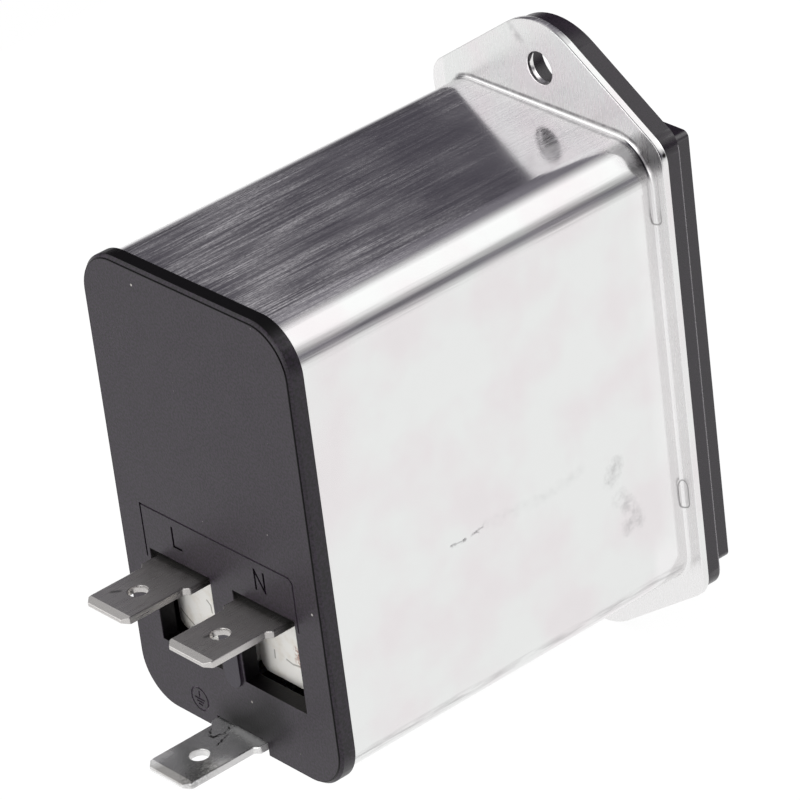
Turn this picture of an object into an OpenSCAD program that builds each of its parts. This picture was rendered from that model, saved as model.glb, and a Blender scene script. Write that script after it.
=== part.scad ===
// Fused mains inlet with line filter in a flanged metal can, in mm.
// Origin at the centre of the flange's back face, +Y to the rear cap, +Z up, front face towards -Y.

/* [Metal can] */
// can width outside
can_w = 29.7; // [26:0.1:34]
// can height outside
can_h = 50.0; // [46:0.1:54]
// can corner radius outside
can_r = 4.5; // [3:0.1:7]
// sheet thickness of the can and its flange
sheet = 0.8; // [0.6:0.05:1.2]
// rear end of the can, behind the flange's back face
can_end = 45.15; // [40:0.05:50]
// radius where the can meets its flange
root_r = 0.4; // [0.3:0.1:1.5]
// flange width
flange_w = 33.2; // [32.6:0.1:36]
// height of the ear's sharp tip above the centre
ear_z = 35.9; // [34:0.1:38]
// slope of the ear's edges in degrees
ear_slope = 33.4; // [28:0.1:38]
// rounding of the ear tips
tip_r = 8.0; // [3:0.1:10]
// rounding of the flange's side corners
side_r = 3.0; // [1:0.1:4]
// panel hole diameter
hole_d = 3.5; // [3.2:0.1:4.5]
// panel hole pitch
hole_pitch = 58.4; // [57:0.1:60]

/* [Rear cap] */
// cap width
cap_w = 30.5; // [28:0.1:35]
// cap height
cap_h = 51.1; // [48:0.1:55]
// cap corner radius
cap_r = 5.0; // [3:0.1:7]
// cap plate thickness
cap_t = 1.85; // [1.5:0.05:3]
// bevel round the rear edge
cap_bevel = 0.3; // [0.1:0.05:0.8]
// height of the rear face over the bevelled edge
cap_step = 0.12; // [0.05:0.01:0.3]
// window width
window_w = 9.2; // [8:0.1:10]
// window height
window_h = 10.5; // [8:0.1:12]
// top edge of the windows
window_top = -7.0; // [-8:0.1:-6]
// width of the rib between the windows
rib_w = 3.4; // [2.5:0.1:5]
// width of an engraved line
line_w = 0.2; // [0.1:0.05:0.4]
// depth of an engraved line
line_depth = 0.2; // [0.1:0.05:0.4]

/* [Terminals] */
// tab width
tab_w = 6.3; // [4.8:0.1:6.3]
// tab thickness
tab_t = 0.8; // [0.5:0.1:0.8]
// tab reach past the cap's rear face
tab_reach = 9.75; // [8:0.05:11]
// hole in the tab
tab_hole_d = 2.0; // [1.6:0.1:2.2]
// hole centre from the tab's tip
tab_hole_from_tip = 4.35; // [3.5:0.05:5]
// width of the shank at the shoulders
shank_w = 7.4; // [6.5:0.1:8]
// sideways place of the line and neutral tabs
tab_x = 6.2; // [5:0.1:8]
// top face of the line and neutral tabs
tab_z = -7.5; // [-9:0.1:-7.3]

/* [Front moulding] */
// how far the sides of the moulding's flange are inside the metal one's
bezel_side_inset = 0.75; // [0:0.05:1]
// how far the ear edges of the moulding's flange are inside the metal one's
bezel_ear_inset = 0.35; // [0:0.05:0.6]
// rounding of the ear tips of the moulding's flange
bezel_tip_r = 8.8; // [3:0.1:10]
// thickness of the moulding's flange
bezel_t = 2.2; // [1.5:0.1:3]
// diameter of the pockets for the screw heads in the moulding's flange
pocket_d = 6.0; // [5.8:0.1:8]
// width of the raised frame
frame_w = 28.7; // [28:0.1:31]
// height of the raised frame
frame_h = 48.5; // [48:0.1:52]
// height of the raised frame's front over the flange
frame_rise = 2.7; // [1.5:0.1:4]
// recess width for the mains connector
recess_w = 24.2; // [23.8:0.1:24.6]
// recess height
recess_h = 16.6; // [16.2:0.1:17]
// recess depth
recess_depth = 17.5; // [16:0.1:19]
// recess centre height
recess_z = -11.6; // [-13:0.1:-10]
// pin pitch, line to neutral
pin_pitch = 14.0; // [13.8:0.1:14.2]
// earth pin below the line of the other two
earth_drop = 4.0; // [3.8:0.1:4.2]

/* [Fuse drawer] */
// centre height of the fuse drawer
drawer_z = 10.5; // [9.5:0.1:11]
// width of the drawer's front plate
drawer_w = 24.0; // [20:0.1:24.5]
// height of the drawer's front plate
drawer_h = 14.0; // [12:0.1:15]
// fuse length
fuse_len = 20.0; // [19.5:0.1:20.5]
// fuse end cap diameter
fuse_d = 5.2; // [5:0.1:5.3]
// sideways place of the fuses
fuse_x = 5.6; // [5.4:0.1:5.8]

/* [Filter] */
// ring core outside radius
core_ro = 9.0; // [8:0.1:9.2]
// ring core inside radius
core_ri = 5.0; // [4:0.1:6]
// ring core height
core_h = 7.0; // [6:0.1:8]
// winding wire diameter
wire_d = 0.9; // [0.6:0.1:1]
// turns on each side of the core
turns = 8; // [5:1:9]

/* [Hidden] */
$fn = 48;
over = 1;
gap = 0.05;
seam = 0.02;
slack = 0.3;
plug_play = 0.15;
rear_y = can_end + gap + cap_t;
cap_y = can_end + gap;
hole_z = hole_pitch / 2;
inner_w = can_w - 2 * sheet;
inner_h = can_h - 2 * sheet;
inner_r = can_r - sheet;
plug_w = inner_w - 2 * plug_play;
plug_h = inner_h - 2 * plug_play;
plug_r = inner_r - plug_play;
plug_end = 2.0;
bezel_back = -sheet - seam;
bezel_front = bezel_back - bezel_t;
front_y = bezel_front - frame_rise;
frame_r = 0.7;
recess_floor = front_y + recess_depth;
recess_cut = 4.6;
cup_wall = 1.1;
cup_end = recess_floor + 3.3;
window_x = rib_w / 2 + window_w / 2;
window_z = window_top - window_h / 2;
tab_tip = rear_y + tab_reach;
can_floor = -can_h / 2 + sheet;
earth_rise = 0.35;
earth_top = can_floor + earth_rise;
earth_tab_root = can_end - 0.4;
earth_tab_tip = tab_tip + 0.15;
shank_end = rear_y + 2.4;
earth_shank_end = rear_y + 1.4;
leg_y = 37.0;
leg_w = 5.0;
leg_top = -1.6;
spigot_y = 41.0;
spigot_wall = 0.85;
boss_y = 38.0;
pin_w = 2.0;
pin_h = 4.0;
pin_z = recess_z + earth_drop / 2;
earth_z = recess_z - earth_drop / 2;
pin_tip = front_y + 2.8;
earth_tip = front_y + 1.8;
pin_tail = cup_end + 1.4;
plate_t = 2.0;
plate_front = front_y - 0.4;
plate_back = plate_front + plate_t;
tray_half_x = 8.1;
tray_half_z = 4.1;
fuse_front = plate_back + 3.1;
fuse_back = fuse_front + fuse_len;
tray_end = fuse_back + 1.1;
fuse_seat = 0.1;
fuse_cap_len = 5.4;
fuse_cap_end = 0.4;
fuse_tube_d = 4.7;
fuse_bore_d = 3.5;
fuse_wire_d = 0.3;
tunnel_half_x = 10.6;
tunnel_half_z = tray_half_z + 0.35;
tunnel_end = tray_end + 0.4;
tunnel_wall = 1.2;
clip_t = 0.4;
clip_x = fuse_x + fuse_d / 2 + slack;
clip_run_x = tunnel_half_x - 0.2;
clip_tail = tunnel_end + 4.4;
clip_w = 2.0;
clip_off = 2.6;
pad_len = 3.2;
clip_set = 0.9;
core_y = 24.6;
core_z = -11.8;
core_chamfer = 1.0;
winding_half = 58;
wire_clear = 0.1;
lead_d = 1.2;
lead_x = 11.6;
lead_back = clip_tail + 0.45;
ycap_w = 12.1;
ycap_h = 9.4;
ycap_t = 5.0;
ycap_x = 0.2 + ycap_w / 2;
ycap_z = -13.5;
ycap_back = rear_y - 3.35;
ycap_front = ycap_back - ycap_t;
ycap_r = 1.2;
thin_lead_d = 0.7;
xcap_w = 18.0;
xcap_h = 13.0;
xcap_t = 8.5;
xcap_y = 33.2;
xcap_z = 9.2;
resistor_y = 34.6;
resistor_z = -1.2;
liner_t = 0.3;
liner_y = 24.0;
liner_end = spigot_y - 0.3;
strap_t = 0.5;
strap_w = 4.0;
strap_foot = 6.0;

// Extrudes an X-Z outline from y0 to y1.
module along_y(y0, y1) {
    translate([0, y1, 0])
        rotate([90, 0, 0])
            linear_extrude(height = y1 - y0)
                children();
}

// A box given by its two opposite corners.
module span(a, b) {
    translate(a)
        cube(b - a);
}

module other_side() {
    mirror([1, 0, 0])
        children();
}

module four_quarters() {
    for (mx = [0, 1], mz = [0, 1])
        mirror([mx, 0, 0])
            mirror([0, 0, mz])
                children();
}

module rounded(w, h, r) {
    square([w - 2 * r, h], center = true);
    square([w, h - 2 * r], center = true);
    for (sx = [-1, 1], sz = [-1, 1])
        translate([sx * (w / 2 - r), sz * (h / 2 - r)])
            circle(r = r);
}

// Six-sided flange outline with ears of rounding tr, moved in at its sides and at its ear edges.
module flange_outline(tr, side_inset, ear_inset) {
    half = flange_w / 2 - side_inset;
    tip = ear_z - ear_inset / cos(ear_slope);
    sr = side_r - ear_inset;
    tip_c = tip - tr / cos(ear_slope);
    side_c = tip - half * tan(ear_slope) - sr * tan((90 - ear_slope) / 2);
    s = sin(ear_slope);
    c = cos(ear_slope);
    ear = [tr * s, tip_c + tr * c];
    side = [half - sr + sr * s, side_c + sr * c];
    polygon([
        [half, -side_c], [half, side_c], side, ear,
        [-ear.x, ear.y], [-side.x, side.y], [-half, side_c], [-half, -side_c],
        -side, -ear, [ear.x, -ear.y], [side.x, -side.y]
    ]);
    for (m = [-1, 1]) {
        translate([0, m * tip_c])
            circle(r = tr);
        for (n = [-1, 1])
            translate([n * (half - sr), m * side_c])
                circle(r = sr);
    }
}

// Round cuts through both ears, from y0 to y1.
module ear_cuts(d, y0, y1) {
    for (m = [-1, 1])
        translate([0, y0, m * hole_z])
            rotate([-90, 0, 0])
                cylinder(d = d, h = y1 - y0);
}

// Hollow-curved profile that fills the corner between the can's wall and the flange.
module root_profile() {
    bite = 0.3;
    difference() {
        translate([-bite, -bite])
            square(root_r + bite);
        translate([root_r, root_r])
            circle(r = root_r);
        translate([root_r, -over])
            square([over, 2 * over]);
        translate([-over, root_r])
            square([2 * over, over]);
    }
}

module can_root() {
    side_x = can_w / 2 - can_r;
    side_z = can_h / 2 - can_r;
    four_quarters() {
        translate([side_x, 0, side_z])
            rotate([-90, 0, 0])
                rotate([0, 0, -90])
                    rotate_extrude(angle = 90)
                        translate([can_r, 0])
                            root_profile();
        translate([can_w / 2, 0, 0])
            linear_extrude(height = side_z)
                root_profile();
        translate([0, 0, can_h / 2])
            rotate([0, 90, 0])
                linear_extrude(height = side_x)
                    mirror([1, 0])
                        root_profile();
    }
}

// Flat tab along Y with shoulders, corner cuts, thinned tip and hole; its top face is at z = 0.
module quick_tab(root, shoulder, tip) {
    cut = 0.7;
    step = 0.5;
    thin = 0.9;
    nose = 0.22;
    difference() {
        intersection() {
            translate([0, 0, -tab_t - over])
                linear_extrude(height = tab_t + 2 * over)
                    polygon([
                        [shank_w / 2, root], [shank_w / 2, shoulder - step], [tab_w / 2, shoulder],
                        [tab_w / 2, tip - cut], [tab_w / 2 - cut, tip],
                        [cut - tab_w / 2, tip], [-tab_w / 2, tip - cut],
                        [-tab_w / 2, shoulder], [-shank_w / 2, shoulder - step], [-shank_w / 2, root]
                    ]);
            translate([-shank_w / 2 - over, 0, 0])
                rotate([90, 0, 90])
                    linear_extrude(height = shank_w + 2 * over)
                        polygon([
                            [root, -tab_t], [tip - thin, -tab_t], [tip, nose - tab_t],
                            [tip, -nose], [tip - thin, 0], [root, 0]
                        ]);
        }
        translate([0, tip - tab_hole_from_tip, -tab_t - over])
            cylinder(d = tab_hole_d, h = tab_t + 2 * over);
    }
}

module metal_can() {
    color("#d4d4d6") {
        difference() {
            union() {
                along_y(-sheet, 0)
                    flange_outline(tip_r, 0, 0);
                along_y(-sheet / 2, can_end)
                    rounded(can_w, can_h, can_r);
                can_root();
            }
            along_y(-sheet - over, can_end + over)
                rounded(inner_w, inner_h, inner_r);
            ear_cuts(hole_d, -sheet - over, over);
        }
        translate([0, 0, earth_top])
            quick_tab(earth_tab_root, earth_shank_end, earth_tab_tip);
    }
}

// Plate whose rear edge is bevelled all round, with the rear face standing a little over the bevel.
module cap_plate() {
    edge_y = rear_y - cap_step;
    top = edge_y - cap_bevel;
    inset = cap_bevel + seam;
    along_y(cap_y, top)
        rounded(cap_w, cap_h, cap_r);
    along_y(cap_y + gap, rear_y)
        rounded(cap_w - 2 * inset, cap_h - 2 * inset, cap_r - inset);
    translate([cap_r - cap_w / 2, 0, 0])
        rotate([90, 0, 90])
            linear_extrude(height = cap_w - 2 * cap_r)
                polygon([
                    [top, -cap_h / 2], [edge_y, cap_bevel - cap_h / 2],
                    [edge_y, cap_h / 2 - cap_bevel], [top, cap_h / 2]
                ]);
    translate([0, 0, cap_r - cap_h / 2])
        linear_extrude(height = cap_h - 2 * cap_r)
            polygon([
                [-cap_w / 2, top], [cap_w / 2, top],
                [cap_w / 2 - cap_bevel, edge_y], [cap_bevel - cap_w / 2, edge_y]
            ]);
    for (sx = [-1, 1], sz = [-1, 1])
        translate([sx * (cap_w / 2 - cap_r), top, sz * (cap_h / 2 - cap_r)])
            rotate([-90, 0, 0])
                cylinder(r1 = cap_r, r2 = cap_r - cap_bevel, h = cap_bevel);
}

// One engraved stroke from a to b in the X-Z plane.
module stroke(a, b, w) {
    d = b - a;
    translate(a)
        rotate(atan2(d.y, d.x))
            translate([-w / 2, -w / 2])
                square([norm(d) + w, w]);
}

// The letters L and N, mirrored here because they are read from the rear.
module terminal_letters() {
    w = 0.26;
    low = -5.3;
    high = low + 2.1;
    l_left = 6.75;
    l_right = 5.6;
    n_left = -5.65;
    n_right = -7.0;
    stroke([l_left, high], [l_left, low], w);
    stroke([l_left, low], [l_right, low], w);
    stroke([n_left, low], [n_left, high], w);
    stroke([n_left, high], [n_right, low], w);
    stroke([n_right, low], [n_right, high], w);
}

module window_frame_line() {
    half = 11.4;
    top = -2.1;
    low = window_top - 1.0;
    cut = 0.5;
    stroke([half, low], [half, top], line_w);
    stroke([half, top], [cut - half, top], line_w);
    stroke([cut - half, top], [-half, top - cut], line_w);
    stroke([-half, top - cut], [-half, low], line_w);
}

module earth_sign() {
    r = 1.27;
    stem = 0.8;
    bar_half = 0.66;
    bar_less = 0.22;
    bar_drop = 0.33;
    translate([6.3, -22.75]) {
        difference() {
            circle(r = r + line_w / 2);
            circle(r = r - line_w / 2);
        }
        stroke([0, stem], [0, 0], line_w);
        for (i = [0 : 2]) {
            half = bar_half - bar_less * i;
            stroke([half, -bar_drop * i], [-half, -bar_drop * i], line_w);
        }
    }
}

module rear_cap() {
    bead_w = 2.4;
    bead_rise = 0.25;
    notch_w = shank_w + slack;
    notch_top = earth_top + slack / 2;
    boss_bite = 0.2;
    boss_low = tab_z + boss_bite;
    boss_x = leg_w / 2;
    hollow = 2 * spigot_wall;
    color("#454246")
        difference() {
            union() {
                cap_plate();
                difference() {
                    along_y(spigot_y, cap_y + gap)
                        rounded(plug_w, plug_h, plug_r);
                    along_y(spigot_y - over, cap_y)
                        rounded(plug_w - hollow, plug_h - hollow, plug_r - spigot_wall);
                }
                for (m = [-1, 1])
                    span([m * tab_x - boss_x, boss_y, boss_low],
                         [m * tab_x + boss_x, cap_y + gap, leg_top]);
                along_y(cap_y, rear_y + bead_rise) {
                    translate([-bead_w / 2, window_top - window_h])
                        square([bead_w, window_h / 2]);
                    translate([0, window_top - window_h])
                        circle(d = bead_w);
                }
            }
            for (m = [-1, 1])
                along_y(cap_y - over, rear_y + over)
                    translate([m * window_x, window_z])
                        square([window_w, window_h], center = true);
            span([-notch_w / 2, spigot_y - over, -cap_h],
                 [notch_w / 2, rear_y + over, notch_top]);
            along_y(rear_y - line_depth, rear_y + over) {
                terminal_letters();
                window_frame_line();
                earth_sign();
            }
        }
}

module line_terminal() {
    color("#6d6a66") {
        translate([tab_x, 0, tab_z])
            quick_tab(leg_y, shank_end, tab_tip);
        span([tab_x - leg_w / 2, leg_y, tab_z - tab_t],
             [tab_x + leg_w / 2, leg_y + tab_t, leg_top]);
    }
}

module neutral_terminal() {
    other_side()
        line_terminal();
}

// Connector recess outline with the two cut corners on the earth side.
module recess_outline() {
    w = recess_w / 2;
    h = recess_h / 2;
    translate([0, recess_z])
        polygon([
            [-w, h], [-w, recess_cut - h], [recess_cut - w, -h],
            [w - recess_cut, -h], [w, recess_cut - h], [w, h]
        ]);
}

module inlet_housing() {
    tunnel_out_x = tunnel_half_x + tunnel_wall;
    tunnel_out_z = tunnel_half_z + tunnel_wall;
    slot_x = clip_run_x - clip_t / 2;
    slot_half_z = clip_w * 0.6;
    slot_end = tunnel_end + tunnel_wall + over;
    color("#1b1b1d")
        difference() {
            union() {
                along_y(bezel_front, bezel_back)
                    flange_outline(bezel_tip_r, bezel_side_inset, bezel_ear_inset);
                along_y(front_y, bezel_front + gap)
                    rounded(frame_w, frame_h, frame_r);
                along_y(bezel_back - gap, plug_end)
                    rounded(plug_w, plug_h, plug_r);
                along_y(plug_end - gap, cup_end)
                    translate([0, recess_z])
                        square([recess_w + 2 * cup_wall, recess_h + 2 * cup_wall], center = true);
                along_y(plug_end - gap, tunnel_end + tunnel_wall)
                    translate([0, drawer_z])
                        square([2 * tunnel_out_x, 2 * tunnel_out_z], center = true);
            }
            along_y(front_y - over, recess_floor)
                recess_outline();
            along_y(front_y - over, plate_back + slack)
                translate([0, drawer_z])
                    square([drawer_w + 2 * slack, drawer_h + 2 * slack], center = true);
            along_y(front_y, tunnel_end)
                translate([0, drawer_z])
                    square([2 * tunnel_half_x, 2 * tunnel_half_z], center = true);
            for (m = [-1, 1], n = [-1, 1])
                span([m * slot_x - clip_t, tunnel_end - over, drawer_z + n * clip_off - slot_half_z],
                     [m * slot_x + clip_t, slot_end, drawer_z + n * clip_off + slot_half_z]);
            for (p = [[-pin_pitch / 2, pin_z], [pin_pitch / 2, pin_z], [0, earth_z]])
                along_y(recess_floor - over, cup_end + over)
                    translate(p)
                        square([pin_w + gap, pin_h + gap], center = true);
            ear_cuts(pocket_d, bezel_front - over, bezel_back + over);
        }
}

// Flat inlet pin with a tapered nose.
module inlet_pin(x, z, tip) {
    taper = 1.6;
    nose = 0.5;
    translate([x, 0, z - pin_h / 2])
        linear_extrude(height = pin_h)
            polygon([
                [-pin_w / 2, pin_tail], [-pin_w / 2, tip + taper], [nose - pin_w / 2, tip],
                [pin_w / 2 - nose, tip], [pin_w / 2, tip + taper], [pin_w / 2, pin_tail]
            ]);
}

module line_pin() {
    color("#c2bdb2")
        inlet_pin(pin_pitch / 2, pin_z, pin_tip);
}

module neutral_pin() {
    color("#c2bdb2")
        inlet_pin(-pin_pitch / 2, pin_z, pin_tip);
}

module earth_pin() {
    color("#c2bdb2")
        inlet_pin(0, earth_z, earth_tip);
}

module fuse_drawer() {
    bay_half_z = fuse_d / 2 + fuse_seat;
    bay_x = fuse_x - fuse_d / 2 - fuse_seat;
    grip_w = 8.0;
    grip_h = 1.6;
    grip_depth = 1.2;
    lip = 0.5;
    lip_len = 3.0;
    lip_x = tray_half_x - lip / 2;
    lip_z = bay_half_z - lip / 2;
    lip_y = (fuse_front + fuse_back - lip_len) / 2;
    color("#202022")
        translate([0, 0, drawer_z])
            difference() {
                union() {
                    along_y(plate_front, plate_back)
                        square([drawer_w, drawer_h], center = true);
                    along_y(plate_back - gap, tray_end)
                        square([2 * tray_half_x, 2 * tray_half_z], center = true);
                }
                for (m = [-1, 1])
                    difference() {
                        span([m > 0 ? bay_x : -tray_half_x - over, fuse_front - fuse_seat, -bay_half_z],
                             [m > 0 ? tray_half_x + over : -bay_x, fuse_back + fuse_seat, bay_half_z]);
                        for (n = [-1, 1])
                            span([m * lip_x - lip / 2, lip_y, n * lip_z - lip / 2],
                                 [m * lip_x + lip / 2, lip_y + lip_len, n * lip_z + lip / 2]);
                    }
                span([-grip_w / 2, plate_front - over, drawer_h / 2 - grip_h],
                     [grip_w / 2, plate_front + grip_depth, drawer_h / 2 + over]);
            }
}

// Moves a fuse piece, drawn along Y from its front end, into the line fuse's place.
module at_line_fuse() {
    translate([fuse_x, fuse_front, drawer_z])
        rotate([-90, 0, 0])
            children();
}

module line_fuse_tube() {
    color("#dfe6e6")
        at_line_fuse()
            translate([0, 0, fuse_cap_end + gap])
                difference() {
                    cylinder(d = fuse_tube_d, h = fuse_len - 2 * fuse_cap_end - 2 * gap);
                    translate([0, 0, -over])
                        cylinder(d = fuse_bore_d, h = fuse_len + over);
                }
}

module fuse_end_cap() {
    difference() {
        cylinder(d = fuse_d, h = fuse_cap_len);
        translate([0, 0, fuse_cap_end])
            cylinder(d = fuse_tube_d + 2 * gap, h = fuse_cap_len);
    }
}

module line_fuse_front_cap() {
    color("#c9c8c4")
        at_line_fuse()
            fuse_end_cap();
}

module line_fuse_rear_cap() {
    color("#c9c8c4")
        at_line_fuse()
            translate([0, 0, fuse_len])
                mirror([0, 0, 1])
                    fuse_end_cap();
}

module line_fuse_wire() {
    color("#b9b4a6")
        at_line_fuse()
            translate([0, 0, fuse_cap_end + gap])
                cylinder(d = fuse_wire_d, h = fuse_len - 2 * fuse_cap_end - 2 * gap);
}

module neutral_fuse_tube() {
    other_side()
        line_fuse_tube();
}

module neutral_fuse_front_cap() {
    other_side()
        line_fuse_front_cap();
}

module neutral_fuse_rear_cap() {
    other_side()
        line_fuse_rear_cap();
}

module neutral_fuse_wire() {
    other_side()
        line_fuse_wire();
}

// Contact strip beside a fuse cap, with a run along the tunnel wall to the rear; side is 1 above, -1 below.
module fuse_clip(y, web_y, side) {
    pad_half = 1.5;
    far = drawer_z + side * (clip_off + clip_w / 2);
    near = drawer_z + side * (clip_off - clip_w / 2);
    span([clip_x, y, min(drawer_z - side * pad_half, far)],
         [clip_x + clip_t, y + pad_len, max(drawer_z - side * pad_half, far)]);
    span([clip_x, web_y, min(near, far)], [clip_run_x, web_y + clip_t, max(near, far)]);
    span([clip_run_x - clip_t, web_y, min(near, far)], [clip_run_x, clip_tail, max(near, far)]);
}

module line_front_clip() {
    color("#c8a35a")
        fuse_clip(fuse_front + clip_set, fuse_front + clip_set, 1);
}

module line_rear_clip() {
    color("#c8a35a")
        fuse_clip(fuse_back - pad_len - clip_set, fuse_back - clip_t - clip_set, -1);
}

module neutral_front_clip() {
    other_side()
        line_front_clip();
}

module neutral_rear_clip() {
    other_side()
        line_rear_clip();
}

function unit(v) = v / norm(v);

// Catmull-Rom curve through the points, with n steps between each two.
function curve(p, n) = [
    for (i = [0 : len(p) - 2], k = [0 : n - 1])
        let (
            t = k / n,
            a = p[max(i - 1, 0)],
            b = p[i],
            c = p[i + 1],
            d = p[min(i + 2, len(p) - 1)]
        )
        b + 0.5 * t * ((c - a) + t * (2 * a - 5 * b + 4 * c - d + t * (3 * b - a - 3 * c + d))),
    p[len(p) - 1]
];

function path_tangents(p) = [
    for (i = [0 : len(p) - 1]) unit(p[min(i + 1, len(p) - 1)] - p[max(i - 1, 0)])
];

function path_sides(t) = [
    for (i = 0, u = unit(cross(t[0], abs(t[0].x) < 0.8 ? [1, 0, 0] : [0, 1, 0]));
         i < len(t);
         i = i + 1, u = i < len(t) ? unit(u - t[i] * (u * t[i])) : u)
        u
];

// Round wire of diameter d along a path.
module wire(path, d, sides) {
    t = path_tangents(path);
    u = path_sides(t);
    m = len(path);
    points = [
        for (i = [0 : m - 1], k = [0 : sides - 1])
            path[i] + d / 2 * (cos(360 * k / sides) * u[i] + sin(360 * k / sides) * cross(t[i], u[i]))
    ];
    walls = [
        for (i = [0 : m - 2], k = [0 : sides - 1])
            let (a = i * sides + k, b = i * sides + (k + 1) % sides)
            each [[a, a + sides, b], [b, a + sides, b + sides]]
    ];
    first = [for (k = [0 : sides - 1]) k];
    last = [for (k = [sides - 1 : -1 : 0]) (m - 1) * sides + k];
    polyhedron(points = points, faces = concat(walls, [first, last]));
}

module choke_core() {
    mid = (core_ro + core_ri) / 2;
    half = (core_ro - core_ri) / 2;
    flat = half - core_chamfer;
    edge = core_h / 2 - core_chamfer;
    color("#3c4a3f")
        translate([0, core_y, core_z])
            rotate([90, 0, 0])
                rotate_extrude()
                    polygon([
                        [mid - flat, core_h / 2], [core_ri, edge],
                        [core_ri, -edge], [mid - flat, -core_h / 2],
                        [mid + flat, -core_h / 2], [core_ro, -edge],
                        [core_ro, edge], [mid + flat, core_h / 2]
                    ]);
}

// Point of the winding at share s of its length: a squarish loop round the core that moves along the ring.
function wound(s) =
    let (
        around = 360 * turns * s,
        along = winding_half * (1 - 2 * s),
        squareness = 1 / 3,
        reach = wire_d / 2 + wire_clear,
        a = (core_ro - core_ri) / 2 + reach,
        b = core_h / 2 + reach,
        cx = cos(around),
        cy = -sin(around),
        r = (core_ro + core_ri) / 2 + a * sign(cx) * pow(abs(cx), squareness),
        y = core_y + b * sign(cy) * pow(abs(cy), squareness)
    )
    [r * cos(along), y, core_z + r * sin(along)];

module line_winding() {
    steps = 20;
    start = wound(0);
    end = wound(1);
    foot_x = tab_x - 1.5;
    joint_y = clip_tail + 0.6;
    lead_in = [
        [clip_run_x - 0.3, joint_y, drawer_z - clip_off], [9.0, joint_y, 5.6],
        [6.8, joint_y - 1.2, 1.4], [start.x + 0.7, core_y + 1.2, start.z + 1.5]
    ];
    lead_out = [
        [end.x + 0.7, core_y + 1.6, end.z - 0.9], [foot_x, core_y + 7.0, core_z - 6.7],
        [foot_x, leg_y - 2.0, -9.5], [foot_x, leg_y - 0.55, -4.0]
    ];
    coil = [for (i = [0 : steps * turns]) wound(i / (steps * turns))];
    color("#b4672f")
        wire(concat(
            curve(concat(lead_in, [start]), 4), [for (i = [1 : len(coil) - 2]) coil[i]],
            curve(concat([end], lead_out), 4)
        ), wire_d, 6);
}

module neutral_winding() {
    other_side()
        line_winding();
}

module x_capacitor() {
    foot_x = 7.6;
    bottom = xcap_z - xcap_h / 2;
    color("#c8b23a") {
        translate([0, xcap_y, xcap_z])
            cube([xcap_w, xcap_t, xcap_h], center = true);
        for (m = [-1, 1])
            wire(curve([
                [m * foot_x, xcap_y, bottom + 0.4], [m * foot_x, xcap_y, bottom - 1.2],
                [m * foot_x, leg_y - 1.4, -1.8], [m * foot_x, leg_y - 0.45, -4.4]
            ], 4), thin_lead_d, 8);
    }
}

module line_y_capacitor() {
    bend = ycap_front - 1.0;
    run = 1.2;
    hot_low = -10.2;
    hot_top = tab_z - tab_t - gap;
    earth_x = tab_x + 3;
    earth_low = can_floor + 0.1;
    earth_len = 7.0;
    color("#e4e1d8") {
        along_y(ycap_front, ycap_back)
            translate([ycap_x, ycap_z])
                rounded(ycap_w, ycap_h, ycap_r);
        translate([tab_x, bend, hot_low])
            cylinder(d = thin_lead_d, h = hot_top - hot_low);
        translate([tab_x, bend, hot_low])
            rotate([-90, 0, 0])
                cylinder(d = thin_lead_d, h = run);
        translate([earth_x, bend, earth_low])
            cylinder(d = thin_lead_d, h = earth_len);
        translate([earth_x, bend, earth_low + earth_len])
            rotate([-90, 0, 0])
                cylinder(d = thin_lead_d, h = run);
    }
}

module neutral_y_capacitor() {
    other_side()
        line_y_capacitor();
}

module bleed_resistor() {
    body_len = 6.4;
    body_d = 2.4;
    color("#c9b48d") {
        translate([-body_len / 2, resistor_y, resistor_z])
            rotate([0, 90, 0])
                cylinder(d = body_d, h = body_len);
        for (m = [-1, 1])
            wire(curve([
                [m * (body_len / 2 - 0.4), resistor_y, resistor_z], [m * 5.2, resistor_y, resistor_z],
                [m * 6.1, resistor_y + 0.9, resistor_z - 0.9], [m * 6.1, leg_y - 0.45, -4.2]
            ], 4), 0.6, 8);
    }
}

module insulating_liner() {
    open_half = 11.0;
    open_y = 35.0;
    color("#d9cfae")
        difference() {
            along_y(liner_y, liner_end)
                rounded(plug_w, plug_h, plug_r);
            along_y(liner_y - over, liner_end + over)
                rounded(plug_w - 2 * liner_t, plug_h - 2 * liner_t, plug_r - liner_t);
            span([-open_half, open_y, -can_h], [open_half, can_end, -plug_h / 4]);
        }
}

module earth_strap() {
    low = can_floor + gap;
    front = pin_tail + gap;
    color("#c2bdb2") {
        span([-strap_w / 2, front, low], [strap_w / 2, front + strap_t, earth_z + pin_h / 2]);
        span([-strap_w / 2, front, low], [strap_w / 2, front + strap_foot, low + strap_t]);
    }
}

module line_inlet_lead() {
    x = pin_pitch / 2;
    y = pin_tail + gap + lead_d / 2;
    color("#6b4a33")
        wire(curve([
            [x, y, pin_z], [x, y, pin_z + 5], [x, y, 0.6],
            [8.5, y + 3.2, 2.4], [lead_x, clip_tail - 0.6, 3.0],
            [lead_x, lead_back, 6.5], [lead_x, lead_back, drawer_z],
            [clip_run_x + 0.3, lead_back + 0.35, drawer_z + clip_off]
        ], 4), lead_d, 8);
}

module neutral_inlet_lead() {
    other_side()
        line_inlet_lead();
}

metal_can();
rear_cap();
line_terminal();
neutral_terminal();
inlet_housing();
line_pin();
neutral_pin();
earth_pin();
fuse_drawer();
line_fuse_tube();
line_fuse_front_cap();
line_fuse_rear_cap();
line_fuse_wire();
neutral_fuse_tube();
neutral_fuse_front_cap();
neutral_fuse_rear_cap();
neutral_fuse_wire();
line_front_clip();
line_rear_clip();
neutral_front_clip();
neutral_rear_clip();
choke_core();
line_winding();
neutral_winding();
x_capacitor();
line_y_capacitor();
neutral_y_capacitor();
bleed_resistor();
insulating_liner();
earth_strap();
line_inlet_lead();
neutral_inlet_lead();
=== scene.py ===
import math

import bpy
from mathutils import Matrix, Vector

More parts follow.
